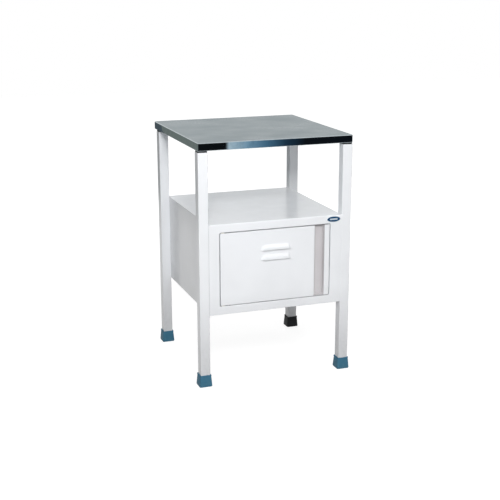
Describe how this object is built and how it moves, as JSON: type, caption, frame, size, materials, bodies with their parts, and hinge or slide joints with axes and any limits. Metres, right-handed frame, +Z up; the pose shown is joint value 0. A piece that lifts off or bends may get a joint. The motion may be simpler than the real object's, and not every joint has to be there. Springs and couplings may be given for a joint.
{
  "type": "bedside cabinet",
  "caption": "Hospital bedside cabinet: a stainless top on four square-tube legs with rubber shoes, an open shelf space, and a white steel box with a louvred flush door on a left hinge.",
  "frame": {"origin": "centre of the footprint on the floor, under the middle of the cabinet's overall box", "axes": "+X to the cabinet's right as seen from its front, +Y to the back, +Z up; the door faces -Y"},
  "size_m": [0.5188, 0.514, 0.78],
  "materials": {
    "painted_steel": "gloss",
    "stainless_steel": "satin",
    "shoe_rubber": "matte",
    "black_plastic": "matte",
    "zinc_plated": "satin",
    "ferrite_and_poles": "matte",
    "white_plastic": "satin",
    "blue_enamel": "gloss",
    "nylon": "satin",
    "buffer_rubber": "matte"
  },
  "bodies": {
    "cabinet": {"leg_front_left": "painted_steel", "leg_front_right": "painted_steel", "leg_rear_left": "painted_steel", "leg_rear_right": "painted_steel", "shoe_front_left": "shoe_rubber", "shoe_front_right": "shoe_rubber", "shoe_rear_left": "shoe_rubber", "shoe_rear_right": "shoe_rubber", "plug_front_left": "black_plastic", "plug_front_right": "black_plastic", "plug_rear_left": "black_plastic", "plug_rear_right": "black_plastic", "plug_studs": "zinc_plated", "stud_nuts": "zinc_plated", "top_pan": "stainless_steel", "top_channel_front": "zinc_plated", "top_channel_rear": "zinc_plated", "shelf_panel": "painted_steel", "side_panel_left": "painted_steel", "side_panel_right": "painted_steel", "back_panel": "painted_steel", "bottom_panel": "painted_steel", "front_frame": "painted_steel", "body_screws": "zinc_plated", "rivet_nuts": "zinc_plated", "badge_plate": "blue_enamel", "hinge_bracket_upper": "zinc_plated", "hinge_bracket_lower": "zinc_plated", "bracket_rivets": "zinc_plated", "hinge_bush_upper": "nylon", "hinge_bush_lower": "nylon", "catch_bracket": "zinc_plated", "catch_body": "white_plastic", "catch_magnet": "ferrite_and_poles", "catch_screws": "zinc_plated", "door_stop": "painted_steel", "door_buffer": "buffer_rubber"},
    "door": {"door_skin": "painted_steel", "pull_channel": "painted_steel", "door_liner": "painted_steel", "hinge_block_upper": "zinc_plated", "hinge_block_lower": "zinc_plated", "hinge_pin_upper": "zinc_plated", "hinge_pin_lower": "zinc_plated", "strike_plate": "zinc_plated", "strike_rivets": "zinc_plated"}
  },
  "joints": [
    {"name": "door_hinge", "type": "hinge", "parent": "cabinet", "child": "door", "pos_m": [-0.1765, -0.245, 0.3805], "axis": [0, 0, -1], "range_deg": [0, 110]}
  ]
}
